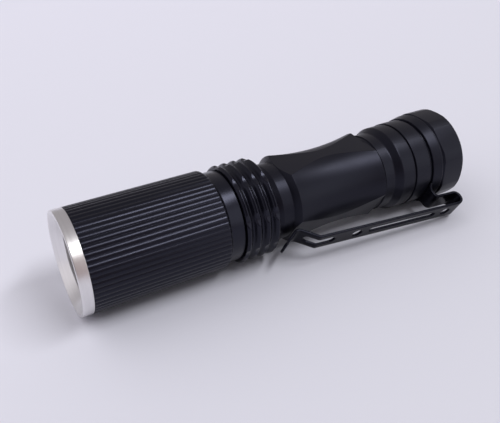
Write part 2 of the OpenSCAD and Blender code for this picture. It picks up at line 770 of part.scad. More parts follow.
// The clip: one stamped strip, from a ring that the cap clamps, out and back beside the cap,
// round a full turn, and forwards along the body to a crest and a flared lip
module pocket_clip() {
    ring_mid_x = clip_ring_x + clip_t / 2;
    ring_r = clip_hole_r + clip_ring_w;
    inner_r = cap_r + clip_standoff + clip_t / 2;
    turn_r = (clip_turn + clip_t) / 2;
    turn_x = clip_back + clip_t / 2;
    heel_r = inner_r + (ring_mid_x - turn_x) * tan(clip_slope);
    outer_r = heel_r + 2 * turn_r;
    crest_x = neck_x + clip_crest_past;
    arm_x = crest_x - clip_ramp_len;
    arm_r = outer_r - (arm_x - turn_x) * tan(clip_slope);
    crest_r = flat_r + clip_crest_gap + clip_t / 2;
    tip = [collar_x - clip_tip_gap, crest_r + clip_lip_rise];
    ring_lap = 0.22;
    foot = [ring_mid_x, ring_r - ring_lap];
    knee = [ring_mid_x, inner_r];
    heel = [turn_x, heel_r];
    top = [turn_x, outer_r];
    shoulder = [arm_x, arm_r];
    crest = [crest_x, crest_r];
    turn_flat = 0.1;
    half_turn = 45 - clip_slope / 2;
    turn_bend = 2 * (turn_r - turn_flat) / (tan(half_turn) + tan(90 - half_turn));
    path = concat([foot], bend(foot, knee, heel, clip_bend), bend(knee, heel, top, turn_bend),
        bend(heel, top, shoulder, turn_bend), bend(top, shoulder, crest, clip_bend),
        bend(shoulder, crest, tip, clip_bend), [tip]);
    between_r = heel_r + turn_r;
    far_r = outer_r + cut;
    tip_round = 1.2;
    half_w = clip_front_w / 2;
    color(black) union() {
        ring(clip_ring_x, clip_ring_x + clip_t, clip_hole_r, ring_r);
        rotate([-clip_angle, 0, 0]) difference() {
            intersection() {
                rotate([90, 0, 0])
                    linear_extrude(height = clip_w, center = true) polygon(strip(path, clip_t));
                linear_extrude(height = 2 * far_r)
                    polygon([[0, -clip_w / 2], [tip[0] - tip_round, -half_w],
                        [tip[0] + cut, -half_w + tip_round + cut],
                        [tip[0] + cut, half_w - tip_round - cut],
                        [tip[0] - tip_round, half_w], [0, clip_w / 2]]);
            }
            rod(clip_ring_x - cut, clip_ring_x + clip_t + cut, clip_hole_r);
            translate([clip_back + clip_hole_a, 0, between_r])
                cylinder(d = clip_hole_d, h = far_r - between_r, $fn = 32);
            slot_cut(clip_back + clip_slot_a, arm_x - clip_slot_b, clip_slot_w, crest_r, far_r);
            translate([arm_x - clip_hole_b, 0, crest_r])
                cylinder(d = clip_hole_d, h = far_r - crest_r, $fn = 32);
            slot_cut(arm_x - clip_front_a, crest_x - clip_front_b, clip_slot_w, 0, far_r);
        }
    }
}

body_tube();
front_barrel();
slide_o_ring();
stop_ring();
led_holder();
led_board();
led_base_chip();
led_clear_dome();
driver_board();
driver_contact();
battery_cell();
battery_contact();
battery_insulator();
tail_o_ring();
head_shell();
bezel_ring();
lens();
lens_gasket();
pocket_clip();
tail_cap();
boot_rim_seal();
switch_board();
switch_housing();
switch_lock_ring();
tail_spring();
button_boot();
switch_plunger();
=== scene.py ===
import math

import bmesh
import bpy
from mathutils import Matrix, Vector, geometry


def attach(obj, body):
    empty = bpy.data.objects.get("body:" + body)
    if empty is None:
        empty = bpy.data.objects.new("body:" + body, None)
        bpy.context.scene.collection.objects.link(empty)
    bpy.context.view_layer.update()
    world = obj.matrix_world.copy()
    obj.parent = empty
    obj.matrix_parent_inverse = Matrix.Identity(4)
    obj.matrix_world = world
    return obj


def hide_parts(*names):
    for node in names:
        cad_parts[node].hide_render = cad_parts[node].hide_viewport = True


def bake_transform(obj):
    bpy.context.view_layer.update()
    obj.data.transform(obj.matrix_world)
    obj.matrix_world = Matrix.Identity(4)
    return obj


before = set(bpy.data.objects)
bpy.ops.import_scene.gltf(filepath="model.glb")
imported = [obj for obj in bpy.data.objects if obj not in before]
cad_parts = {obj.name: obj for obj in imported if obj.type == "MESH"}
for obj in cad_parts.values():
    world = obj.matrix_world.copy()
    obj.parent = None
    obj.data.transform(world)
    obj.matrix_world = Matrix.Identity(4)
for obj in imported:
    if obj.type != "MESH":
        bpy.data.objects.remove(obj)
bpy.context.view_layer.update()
scene = bpy.context.scene


# Body tube: one turned aluminium bar, bored for the cell, with a waisted grip that a mill
# cuts three flats into, stepped bands behind it, and a spigot at each end. It is anodised
# matte black all over, and it carries every other piece. Sizes are in millimetres.
MM = 0.001
TUBE_FLATS = {"flat_r": 10.5, "count": 3, "first": 1.5}
GRIP_X0, GRIP_X1, GRIP_END_R, GRIP_MID_R = 27.95, 55.35, 11.95, 10.65
NECK_X, NECK_R, BAND_R = 56.7, 10.4, 10.95
RELIEF_W, RELIEF_DEPTH = 0.9, 0.35
CHAMFER_X0, CHAMFER_X1, CHAMFER_R = 59.8, 61.8, 9.72
SPIGOT_R, SPIGOT_X, BORE_R, BORE_X, CELL_BORE_R = 10.3, 68.35, 9.45, 14, 9.55
BLACK = (0.003, 0.003, 0.0055)
GLOSS_TINT = (0.72, 0.74, 1.0, 1)
CLOSE = 1e-4


def eased(outline, steps=3):
    """Rounds the corners of a turned outline of (station, radius, corner radius) points."""
    most = 0.45
    points = []
    for i, (x, r, ease) in enumerate(outline):
        corner = Vector((x, r))
        if ease == 0:
            points.append(corner)
            continue
        back = Vector(outline[i - 1][:2]) - corner
        ahead = Vector(outline[(i + 1) % len(outline)][:2]) - corner
        reach = min(ease, most * back.length, most * ahead.length)
        start = corner + back.normalized() * reach
        end = corner + ahead.normalized() * reach
        for k in range(steps + 1):
            s = k / steps
            points.append(start * (1 - s) ** 2 + corner * 2 * s * (1 - s) + end * s ** 2)
    return points


def milled_ring(r, edge_r, flat_r, count, first, columns=12, ease=0.12, crown=0.0):
    """Angles and radii round a ring of radius r that has flats milled into it.
    edge_r is the radius that sets where the flats' edges lie, and the flats may be crowned."""
    half = 180 / count
    no_flat = 0.9999
    edge = math.degrees(math.acos(min(flat_r / edge_r, no_flat)))
    soft = min(math.degrees(ease / edge_r), edge / 3, (half - edge) / 3)
    offsets = [edge * share for share in (0.32, 0.63, 0.84)]
    offsets += [edge - soft, edge, edge + soft]
    rest = half - edge - soft
    offsets += [edge + soft + rest * k / columns for k in range(1, columns)]
    offsets = [-o for o in reversed(offsets)] + [0] + offsets + [half]
    ring = []
    for k in range(count):
        for o in offsets:
            flat = flat_r / math.cos(math.radians(o)) + crown * max(0.0, 1 - (o / edge) ** 2)
            ring.append((math.radians(first + k * 2 * half + o), min(r, flat)))
    return ring


def plain_ring(x, r, columns=144):
    """Angles and radii round a plain ring, the same at every station."""
    return [(2 * math.pi * k / columns, r) for k in range(columns)]


def new_piece(name, bm, body, slot, *finishes):
    """Makes an object of the mesh, shaded smooth, that rides on a body if one is given."""
    same_point, no_length = 2e-7, 1e-8
    bmesh.ops.remove_doubles(bm, verts=bm.verts, dist=same_point)
    bmesh.ops.dissolve_degenerate(bm, edges=bm.edges, dist=no_length)
    bmesh.ops.recalc_face_normals(bm, faces=bm.faces)
    mesh = bpy.data.meshes.new(name)
    bm.to_mesh(mesh)
    bm.free()
    mesh.polygons.foreach_set("use_smooth", [True] * len(mesh.polygons))
    for finish in finishes:
        mesh.materials.append(finish)
    piece = bpy.data.objects.new(name, mesh)
    scene.collection.objects.link(piece)
    if body:
        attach(piece, body)
    return piece


def even_normals(piece):
    """Shades each broad face evenly, so that only the eased corners turn the light."""
    piece.modifiers.new("even_normals", "WEIGHTED_NORMAL").weight = 60


def turned(name, outline, body, slot, finish, ring=plain_ring, ease_steps=3):
    """Turns a closed outline about the axis; ring(x, r) gives angles and radii at a station."""
    bm = bmesh.new()
    loops = []
    for x, r in eased(outline, ease_steps):
        loops.append([bm.verts.new((x * MM, q * math.sin(a) * MM, q * math.cos(a) * MM))
                      for a, q in ring(x, r)])
    for this, after in zip(loops, loops[1:] + loops[:1]):
        for k in range(len(this)):
            m = (k + 1) % len(this)
            bm.faces.new((this[k], this[m], after[m], after[k]))
    piece = new_piece(name, bm, body, slot, finish)
    even_normals(piece)
    return piece


def plain_finish(name, colour, metallic, roughness, specular=0.5):
    """A material with its plain values set on the shader, and two tools to add nodes to it."""
    mat = bpy.data.materials.new(name)
    mat.use_nodes = True
    tree = mat.node_tree
    shader = tree.nodes["Principled BSDF"]
    shader.inputs["Base Color"].default_value = (*colour, 1)
    shader.inputs["Metallic"].default_value = metallic
    shader.inputs["Roughness"].default_value = roughness
    shader.inputs["Specular IOR Level"].default_value = specular

    def node(kind, inputs=None, **values):
        made = tree.nodes.new(kind)
        for key, value in values.items():
            setattr(made, key, value)
        for key, value in (inputs or {}).items():
            made.inputs[key].default_value = value
        return made

    return mat, shader, node, tree.links.new


def grain(node, link, scale, stretch=(1, 1, 1), detail=3.0):
    """Noise in the part's own frame, with its grain stretched along the axes."""
    where = node("ShaderNodeTexCoord")
    sized = node("ShaderNodeMapping", {"Scale": stretch})
    noise = node("ShaderNodeTexNoise", {"Scale": scale, "Detail": detail})
    link(where.outputs["Object"], sized.inputs["Vector"])
    link(sized.outputs["Vector"], noise.inputs["Vector"])
    return noise.outputs["Fac"]


def vary(node, link, shader, spread, colour, light, dark, roughness, rough_spread):
    """Lets the noise in spread vary a finish's colour and roughness."""
    shade = node("ShaderNodeMix", data_type="RGBA")
    shade.inputs["A"].default_value = (*[c * dark for c in colour], 1)
    shade.inputs["B"].default_value = (*[c * light for c in colour], 1)
    link(spread, shade.inputs["Factor"])
    link(shade.outputs["Result"], shader.inputs["Base Color"])
    rough = node("ShaderNodeMapRange", {"To Min": roughness - rough_spread,
                                        "To Max": roughness + rough_spread})
    link(spread, rough.inputs["Value"])
    link(rough.outputs["Result"], shader.inputs["Roughness"])


def relief(node, link, shader, height, strength, depth):
    """Bumps a finish by a height of the given depth in metres."""
    bump = node("ShaderNodeBump", {"Strength": strength, "Distance": depth})
    link(height, bump.inputs["Height"])
    link(bump.outputs["Normal"], shader.inputs["Normal"])


def anodised(name, colour, roughness, specular=0.27):
    """Anodised aluminium: a fine blasted grain, faint rings from the lathe and rubbed spots."""
    mat, shader, node, link = plain_finish(name, colour, 0.0, roughness, specular)
    shader.inputs["Specular Tint"].default_value = GLOSS_TINT
    rings = grain(node, link, 2600, (1, 0.02, 0.02), 2.0)
    blasted = grain(node, link, 9000, detail=2.0)
    rubbed = grain(node, link, 160, (0.6, 1, 1), 4.0)
    vary(node, link, shader, rubbed, colour, 1.35, 0.75, roughness, 0.08)
    both = node("ShaderNodeMath", operation="ADD")
    link(rings, both.inputs[0])
    link(blasted, both.inputs[1])
    relief(node, link, shader, both.outputs["Value"], 0.15, 0.00002)
    return mat


def tube_ring(x, r):
    """The tube's ring: flats on the grip and its front cone, plain elsewhere."""
    margin, least_cut, band_edge = 0.1, 0.005, 0.25
    on_grip = GRIP_X0 - CLOSE < x < NECK_X + CLOSE and r > NECK_R - margin
    on_band = x < GRIP_X0 + CLOSE and r < BAND_R + margin
    if on_grip and not on_band:
        return milled_ring(r, max(r, TUBE_FLATS["flat_r"] + least_cut), **TUBE_FLATS)
    edge_r = GRIP_END_R - band_edge if on_band else GRIP_END_R
    return [(a, r) for a, cut in milled_ring(r, edge_r, **TUBE_FLATS)]


def waist(steps=26):
    """Points of the hollow arc between the two ends of the grip."""
    length = GRIP_X1 - GRIP_X0
    dip = GRIP_END_R - GRIP_MID_R
    arc_r = ((length / 2) ** 2 + dip ** 2) / (2 * dip)
    points = []
    for k in range(1, steps):
        u = length * (k / steps - 0.5)
        points.append((GRIP_X0 + length * k / steps,
                       GRIP_MID_R + arc_r - math.sqrt(arc_r ** 2 - u ** 2), 0))
    return points


def cone(x0, r0, x1, r1, steps):
    """Points between the two ends of a cone."""
    return [(x0 + (x1 - x0) * k / steps, r0 + (r1 - r0) * k / steps, 0)
            for k in range(1, steps)]


black = anodised("black_anodised_aluminium", BLACK, 0.37)
tail_spigot = [
    (6.2, CELL_BORE_R, 0), (6.2, 10.42, 0.12), (8.9, 10.42, 0), (8.95, BAND_R, 0.1),
    (9.35, BAND_R, 0.08), (9.35, 10.2, 0.05), (10.45, 10.2, 0.05), (10.45, BAND_R, 0.08),
]
bands = [
    (12, BAND_R, 0.05), (12, 12.3, 0.2), (17.1, 12.3, 0.14), (17.1, 11.85, 0.05),
    (17.55, 11.85, 0.05), (17.55, 12.1, 0.1), (21.75, 12.1, 0.25), (23.85, BAND_R, 0.3),
    (GRIP_X0 - RELIEF_W, BAND_R, 0.05), (GRIP_X0 - RELIEF_W, BAND_R - RELIEF_DEPTH, 0),
    (GRIP_X0, BAND_R - RELIEF_DEPTH, 0),
]
grip = [
    (GRIP_X0, GRIP_END_R, 0.1), *waist(), (GRIP_X1, GRIP_END_R, 0.15),
    *cone(GRIP_X1, GRIP_END_R, NECK_X, NECK_R, 9),
]
neck = [
    (NECK_X, NECK_R, 0.1), (CHAMFER_X0, NECK_R, 0.05), (CHAMFER_X1, CHAMFER_R, 0.03),
]
front_spigot = [
    (61.85, SPIGOT_R, 0), (SPIGOT_X, SPIGOT_R, 0.2), (SPIGOT_X, BORE_R, 0.1),
    (BORE_X, BORE_R, 0), (BORE_X, CELL_BORE_R, 0),
]
tube = turned("tube_body", tail_spigot + bands + grip + neck + front_spigot,
              "body", "black_anodised", black, tube_ring)
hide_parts("body_tube")


# Tail thread: the ridge that the lathe leaves on the rear spigot, which the tail cap runs on.
# It is the same black aluminium, rubbed bright along its crest by the cap, and it shows when
# the cap is backed off.
THREAD_PITCH, THREAD_X0, THREAD_X1 = 1.25, 6.35, 8.8
THREAD_ROOT_R, THREAD_CREST_R, THREAD_FOOT, THREAD_CREST = 10.38, 10.94, 0.42, 0.1


def ridge(name, body, slot, finish):
    """Winds a ridge of blunt triangular section round the spigot."""
    bm = bmesh.new()
    per_turn, run_in, least_rise = 96, 20, 0.02
    steps = int((THREAD_X1 - THREAD_X0 - THREAD_PITCH * 0.5) / THREAD_PITCH * per_turn)
    section = [(-THREAD_FOOT, THREAD_ROOT_R), (-THREAD_CREST, THREAD_CREST_R),
               (THREAD_CREST, THREAD_CREST_R), (THREAD_FOOT, THREAD_ROOT_R)]
    loops = []
    for i in range(steps + 1):
        a = 2 * math.pi * i / per_turn
        rise = max(min(1, i / run_in, (steps - i) / run_in), least_rise)
        x = THREAD_X0 + THREAD_FOOT + THREAD_PITCH * i / per_turn
        loop = []
        for dx, r in section:
            r = THREAD_ROOT_R + (r - THREAD_ROOT_R) * rise
            loop.append(bm.verts.new(((x + dx) * MM, r * math.sin(a) * MM, r * math.cos(a) * MM)))
        loops.append(loop)
    for this, after in zip(loops, loops[1:]):
        for k in range(len(section)):
            m = (k + 1) % len(section)
            bm.faces.new((this[k], this[m], after[m], after[k]))
    bm.faces.new(loops[0])
    bm.faces.new(loops[-1])
    even_normals(new_piece(name, bm, body, slot, finish))


rubbed_black = anodised("rubbed_anodised_thread", (0.05, 0.05, 0.052), 0.3)
ridge("tube_tail_thread", "body", "black_anodised", rubbed_black)


# O-rings and gasket: moulded black rubber, greased. One seals the tail cap, one gives the head
# its friction, and one lies under the bezel. They keep their CAD shapes.
def dress(node_name, finish):
    """Gives a CAD node that keeps its shape a better finish."""
    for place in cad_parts[node_name].material_slots:
        place.material = finish


def moulded(name, colour, roughness, pore=5000):
    """Moulded rubber or plastic: an even colour with a fine pitted skin."""
    mat, shader, node, link = plain_finish(name, colour, 0.0, roughness)
    clouds = grain(node, link, 220)
    vary(node, link, shader, clouds, colour, 1.25, 0.8, roughness, 0.08)
    relief(node, link, shader, grain(node, link, pore, detail=2.0), 0.2, 0.00003)
    return mat


seal_rubber = moulded("greased_rubber", (0.012, 0.012, 0.012), 0.32)
for seal in ("tail_o_ring", "slide_o_ring", "lens_gasket"):
    dress(seal, seal_rubber)


# Front barrel: the finned collar that screws on the tube, in one piece with the tube that the
# head slides on. It is turned, then a round cutter mills eight scallops along the crests of its
# fins, and it is anodised black like the body. A spring ring near its front end stops the head.
FIN_R, FIN_ROOT_R, FIN_PITCH, FIN_X0, FIN_X1 = 13.05, 11.85, 2.7, 62.98, 71.08
FIN_LEAD, FIN_BLUNT, LAST_FIN_LIFT = 0.68, 0.9, 0.6
COLLAR_X0, COLLAR_X1 = 61.85, 71.75
SLIDE_R, SLIDE_X, SLIDE_BORE_R, HOLDER_X = 10.5, 94.3, 8.9, 80.35
SPIGOT_STOP_X, SPIGOT_BORE_R = 68.5, 10.35
SCALLOPS, SCALLOP_ANGLE, SCALLOP_DEPTH, CUTTER_R = 8, 24.0, 0.5, 4.0


def fins(steps=18):
    """Points of the wavy outline: round crests between round valleys, cut off at both ends."""
    start = FIN_X0 - FIN_LEAD
    count = int((COLLAR_X1 - start) / FIN_PITCH * steps)
    points = []
    for k in range(count + 1):
        x = start + (COLLAR_X1 - start) * k / count
        wave = 0.5 + 0.5 * math.cos(2 * math.pi * (x - FIN_X0) / FIN_PITCH)
        lift = wave ** FIN_BLUNT
        if x > FIN_X1:
            lift = max(lift, LAST_FIN_LIFT)
        ease = 0 if 0 < k < count else 0.12
        points.append((x, FIN_ROOT_R + (FIN_R - FIN_ROOT_R) * lift, ease))
    return points


def collar_ring(x, r):
    """Angles and radii round a ring that the scallops cut where it reaches out far enough."""
    off = FIN_R - SCALLOP_DEPTH + CUTTER_R
    edge = math.degrees(math.acos((off ** 2 + FIN_R ** 2 - CUTTER_R ** 2) / (2 * off * FIN_R)))
    half = 180 / SCALLOPS
    land, columns = edge * 1.3, 6
    offsets = [edge * share for share in (0.2, 0.4, 0.6, 0.75, 0.88, 0.96, 1.04, 1.14)]
    offsets += [land + (half - land) * k / columns for k in range(columns)]
    ring = []
    for k in range(SCALLOPS):
        for o in [-o for o in reversed(offsets)] + [0] + offsets + [half]:
            turn = math.radians(o)
            under = CUTTER_R ** 2 - (off * math.sin(turn)) ** 2
            cut = off * math.cos(turn) - math.sqrt(under) if under > 0 else r
            ring.append((math.radians(SCALLOP_ANGLE + 2 * half * k) + turn, min(r, cut)))
    return ring


handled = anodised("handled_black_aluminium", BLACK, 0.25, 0.33)
collar = [(COLLAR_X0, SPIGOT_BORE_R, 0), (COLLAR_X0, 10.8, 0.1), *fins()]
slide = [
    (COLLAR_X1, SLIDE_R, 0.05), (81.1, SLIDE_R, 0.06), (81.1, 9.55, 0), (82.2, 9.55, 0),
    (82.2, SLIDE_R, 0.06), (91.55, SLIDE_R, 0.05), (91.55, 10, 0), (92.65, 10, 0),
    (92.65, SLIDE_R, 0.05), (SLIDE_X, SLIDE_R, 0.15),
]
slide_bore = [
    (SLIDE_X, SLIDE_BORE_R, 0.08), (HOLDER_X, SLIDE_BORE_R, 0), (HOLDER_X, BORE_R, 0),
    (SPIGOT_STOP_X, BORE_R, 0), (SPIGOT_STOP_X, SPIGOT_BORE_R, 0),
]
barrel = turned("barrel_collar", collar + slide + slide_bore,
                "body", "black_anodised", handled, collar_ring)
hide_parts("front_barrel")


def bright_metal(name, colour, roughness, stretch=(1, 1, 1)):
    """Bare metal with its grain along one way, as turned, drawn or plated."""
    mat, shader, node, link = plain_finish(name, colour, 1.0, roughness)
    marks = grain(node, link, 1800, stretch, 4.0)
    vary(node, link, shader, marks, colour, 1.08, 0.88, roughness, 0.06)
    relief(node, link, shader, marks, 0.25, 0.000008)
    return mat


spring_steel = bright_metal("plated_spring_steel", (0.6, 0.59, 0.57), 0.3)
dress("stop_ring", spring_steel)


# LED stack: a turned brass holder, the round white board with its notches, the LED's ceramic
# base and its clear dome over the phosphor, and behind them the driver board with its contact.
# They are seen only through the lens and keep their CAD shapes.
BOARD_GREEN, PHOSPHOR = (0.02, 0.12, 0.045), (0.9, 0.72, 0.1)
brass = bright_metal("turned_brass", (0.66, 0.48, 0.2), 0.28, (1, 0.03, 0.03))
dress("led_holder", brass)
dress("driver_contact", brass)
dress("led_board", moulded("white_solder_mask", (0.82, 0.82, 0.79), 0.35))
dress("led_base_chip", moulded("white_ceramic", (0.86, 0.86, 0.83), 0.3))
dress("driver_board", moulded("green_solder_mask", BOARD_GREEN, 0.35))
phosphor, phosphor_shader, node, link = plain_finish("phosphor_dome", PHOSPHOR, 0.0, 0.15)
vary(node, link, phosphor_shader, grain(node, link, 900), PHOSPHOR, 1.05, 0.85, 0.15, 0.04)
phosphor_shader.inputs["Coat Weight"].default_value = 1.0
dress("led_clear_dome", phosphor)


# Cell: one lithium cell in a blue shrink sleeve, with its raised contact and paper washer.
# It is shut in the tube and keeps its CAD shape.
dress("battery_cell", moulded("blue_shrink_sleeve", (0.03, 0.1, 0.32), 0.28, 2500))
dress("battery_contact", spring_steel)
dress("battery_insulator", moulded("white_paper", (0.8, 0.8, 0.77), 0.8, 8000))


# Head: the sliding grip, turned from aluminium, with flutes cut along it so closely that round
# ribs stand between sharp valleys. A smooth band is left at its rear. It is anodised black, and
# its lip runs on the barrel's slide tube.
HEAD_R, RIBS, RIB_ANGLE, RIB_ROUND, VALLEY = 13.0, 55, 39.0, 1.6, 0.035
HEAD_X0, HEAD_X1, HEAD_BAND_R, HEAD_BORE_R, LIP_R = 72, 110.85, 12, 11.35, 10.7
SHOULDER_X0, SHOULDER_X1, SHOULDER_R, LIP_X = 98.1, 99.5, 9.85, 82.3


def rib_columns(steps=5):
    """Angles and sunk depths across one rib, from valley to valley."""
    half = math.pi * HEAD_R / RIBS
    across = [(half - VALLEY) * k / steps for k in range(-steps, steps + 1)] + [half]
    return [(s / HEAD_R, RIB_ROUND - math.sqrt(RIB_ROUND ** 2 - s ** 2)) for s in across]


def ribbed_ring(x, r):
    """Angles and radii round a ring that the ribs' valleys cut where it reaches out to them."""
    rib = rib_columns()
    return [(math.radians(RIB_ANGLE + 360 * k / RIBS) + a, min(r, HEAD_R - sunk))
            for k in range(RIBS) for a, sunk in rib]


head = turned("head_grip", [
    (HEAD_X0, LIP_R, 0.1), (HEAD_X0, HEAD_BAND_R, 0.15), (75.6, HEAD_BAND_R, 0.1),
    (76.5, HEAD_R, 0.12), (HEAD_X1, HEAD_R, 0.14), (HEAD_X1, HEAD_BORE_R, 0.05),
    (SHOULDER_X1, HEAD_BORE_R, 0), (SHOULDER_X1, SHOULDER_R, 0.05),
    (SHOULDER_X0, SHOULDER_R, 0.05), (SHOULDER_X0, HEAD_BORE_R, 0),
    (LIP_X, HEAD_BORE_R, 0.05), (LIP_X, LIP_R, 0.1),
], "head", "black_anodised", handled, ribbed_ring)
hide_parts("head_shell")


# Lens: a clear moulded half ball with a flat back and a rim. It sits on the head's shoulder, and
# the bezel's sleeve holds it there by its rim, with a rubber gasket between them.
LENS_RIM_X, LENS_RIM_R, LENS_DOME_R = 101.5, 11.25, 9.4


def dome(steps=20):
    """Points from the dome's foot on the rim to its crown."""
    return [(LENS_RIM_X + LENS_DOME_R * math.sin(math.pi / 2 * k / steps),
             LENS_DOME_R * math.cos(math.pi / 2 * k / steps), 0) for k in range(steps + 1)]


clear, clear_shader, node, link = plain_finish("clear_lens", (0.97, 0.985, 0.98), 0.0, 0.03)
clear_shader.inputs["Transmission Weight"].default_value = 1.0
clear_shader.inputs["IOR"].default_value = 1.49
relief(node, link, clear_shader, grain(node, link, 60, detail=0.0), 0.02, 0.00001)
lens = turned("lens_half_ball", [
    (SHOULDER_X1, 0, 0), (SHOULDER_X1, LENS_RIM_R, 0.12), (LENS_RIM_X, LENS_RIM_R, 0.12), *dome(),
], "head", "clear_lens", clear)
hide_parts("lens")


# Bezel: a turned aluminium ring, left bare and satin, with a light dish in front and a threaded
# sleeve behind that holds the lens down. It screws into the head.
SATIN = (0.8, 0.785, 0.78)
SLEEVE_X, SLEEVE_R, BEZEL_R, BEZEL_X, DISH_R = 102.6, 11.3, 13, 113.6, 9.8
satin, satin_shader, node, link = plain_finish("satin_bare_aluminium", SATIN, 1.0, 0.3)
turning = grain(node, link, 3500, (1, 0.015, 0.015))
vary(node, link, satin_shader, turning, SATIN, 1.05, 0.93, 0.3, 0.04)
relief(node, link, satin_shader, turning, 0.3, 0.00001)
bezel = turned("bezel_dish", [
    (SLEEVE_X, 9.55, 0.1), (SLEEVE_X, SLEEVE_R, 0.1), (HEAD_X1, SLEEVE_R, 0),
    (HEAD_X1, BEZEL_R, 0.1), (BEZEL_X, BEZEL_R, 0.42), (BEZEL_X, 12.35, 0.1),
    (111.15, DISH_R, 0.1),
], "head", "bare_silver", satin, ease_steps=5)
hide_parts("bezel_ring")


# Tail cap: turned from aluminium and milled with eight facets, narrow lands left between them,
# then a groove and a cone towards the clip's ring. It is anodised black and screws on the tube.
CAP_FACETS = {"flat_r": 12.7, "count": 8, "first": 43.5, "columns": 4, "ease": 0.3,
              "crown": 0.28}
CAP_R, FACET_X, CAP_GROOVE_R, CAP_BORE_R, CAP_BORE_X = 13.25, 7.7, 12.75, 11.1, 5.9
SWITCH_BORE_R, CAP_WALL, BUTTON_HOLE_R = 9.4, 1.6, 6.2


def cap_ring(x, r):
    """The cap's ring: facets behind the groove, plain elsewhere."""
    milled = milled_ring(r, CAP_R, **CAP_FACETS)
    if x < FACET_X + CLOSE and r > CAP_FACETS["flat_r"]:
        return milled
    return [(a, r) for a, cut in milled]


cap = turned("cap_faceted", [
    (0, BUTTON_HOLE_R, 0.2), (0, 12.55, 0.12), (0.7, CAP_R, 0.2), (7.35, CAP_R, 0.12),
    (FACET_X, CAP_GROOVE_R, 0.1), (8.15, CAP_GROOVE_R, 0.1), (8.3, 13.07, 0.12),
    (11.2, 12.55, 0.14), (11.2, CAP_BORE_R, 0.15), (CAP_BORE_X, CAP_BORE_R, 0),
    (CAP_BORE_X, SWITCH_BORE_R, 0), (CAP_WALL, SWITCH_BORE_R, 0), (CAP_WALL, BUTTON_HOLE_R, 0.1),
], "tail_cap", "black_anodised", black, cap_ring)
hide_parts("tail_cap")


# Rubber boot: one moulded skin, clamped by its rim in the cap, with a ringed crown that goes
# in over the switch. The wall between rim and crown gives when it is pressed; here the skin
# stays still and only the boss behind its crown rides on the button.
BOOT_CROWN_X, BOOT_RIM_X, BOOT_R, BOOT_RIM_R, BOOT_RIM_END = 0.5, 1.62, 5.85, 9.2, 3.58
CROWN_BACK_X, BOSS_X0, BOSS_X1 = 1.12, 1.1, 2.19
RING_FOOT, RING_FLOOR, RING_FOOT_W, RING_FLOOR_W = 0.02, 0.16, 0.3, 0.12
boot_rubber = moulded("moulded_boot_rubber", (0.016, 0.016, 0.017), 0.55)
crown_rings = []
for ring_r in (2.0, 3.2, 4.4):
    crown_rings += [(BOOT_CROWN_X + RING_FOOT, ring_r - RING_FOOT_W, 0),
                    (BOOT_CROWN_X + RING_FLOOR, ring_r - RING_FLOOR_W, 0.08),
                    (BOOT_CROWN_X + RING_FLOOR, ring_r + RING_FLOOR_W, 0.08),
                    (BOOT_CROWN_X + RING_FOOT, ring_r + RING_FOOT_W, 0)]
boot = turned("boot_skin", [
    (CROWN_BACK_X, 0, 0), (BOOT_CROWN_X, 0, 0), *crown_rings, (BOOT_CROWN_X, BOOT_R - 0.35, 0.3),
    (0.95, BOOT_R, 0.25), (1.5, 6.1, 0.1), (BOOT_RIM_X, 6.25, 0), (BOOT_RIM_X, BOOT_RIM_R, 0.15),
    (BOOT_RIM_END, BOOT_RIM_R, 0.15), (BOOT_RIM_END, 6.3, 0.2), (2.3, 5.7, 0.2),
    (1.6, 5.3, 0.15), (CROWN_BACK_X, 5, 0.15),
], None, "black_rubber", boot_rubber)
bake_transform(boot)
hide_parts("button_boot", "boot_rim_seal")
turned("boot_boss", [
    (BOSS_X0, 0, 0), (BOSS_X0, 2.4, 0.1), (BOSS_X1, 2.2, 0.2), (BOSS_X1, 0, 0),
], "button", "black_rubber", boot_rubber)


# Tail switch: a clicking switch on its board, held in the cap by a threaded ring, with the
# plunger under the boot and the spring that meets the cell. They keep their CAD shapes.
dress("switch_board", moulded("green_switch_board", BOARD_GREEN, 0.35))
dress("switch_housing", moulded("black_switch_plastic", (0.02, 0.02, 0.021), 0.42))
dress("switch_plunger", moulded("white_switch_plastic", (0.75, 0.75, 0.72), 0.4))
bare_ring = bright_metal("bare_lock_ring", (0.72, 0.72, 0.72), 0.3, (1, 0.03, 0.03))
dress("switch_lock_ring", bare_ring)
dress("tail_spring", spring_steel)


# Pocket clip: one strip of spring steel, stamped with holes and slots and bent to shape, with a
# ring at its root that the cap clamps. It is coated black, its cut edges too.
CLIP_ANGLE, CLIP_T, CLIP_REAR_W, CLIP_TIP_W = 118.0, 0.7, 6.4, 6.0
CLIP_BENDS = [(11.6, 11.75, 0), (11.6, 15.4, 1.2), (3.85, 16.09, 1.69), (3.85, 19.69, 1.69),
              (51.35, 15.45, 1.2), (56.4, 11.25, 1.8), (62.2, 14.75, 0)]
TIP_TAPER, TIP_SHARE = 6.2, 0.36
HOLE_W, LONG_SLOT_W, FRONT_SLOT_W = 3.0, 1.95, 2.6
CLIP_RING_X0, CLIP_RING_X1, CLIP_RING_R0, CLIP_RING_R1 = 11.25, 11.95, 11.2, 12.1
CUT_COAT = (0.004, 0.004, 0.007)


def bent_line(bends, steps=12):
    """The strip's middle line as (station, radius) points, with round bends."""
    line = []
    for i, (x, r, bend) in enumerate(bends):
        corner = Vector((x, r))
        if bend == 0:
            line.append(corner)
            continue
        back = (Vector(bends[i - 1][:2]) - corner).normalized()
        ahead = (Vector(bends[i + 1][:2]) - corner).normalized()
        half = back.angle(ahead) / 2
        centre = corner + (back + ahead).normalized() * bend / math.sin(half)
        start = corner + back * bend / math.tan(half) - centre
        end = corner + ahead * bend / math.tan(half) - centre
        turn = start.angle_signed(end)
        for k in range(steps + 1):
            line.append(centre + Matrix.Rotation(-turn * k / steps, 2) @ start)
    return line


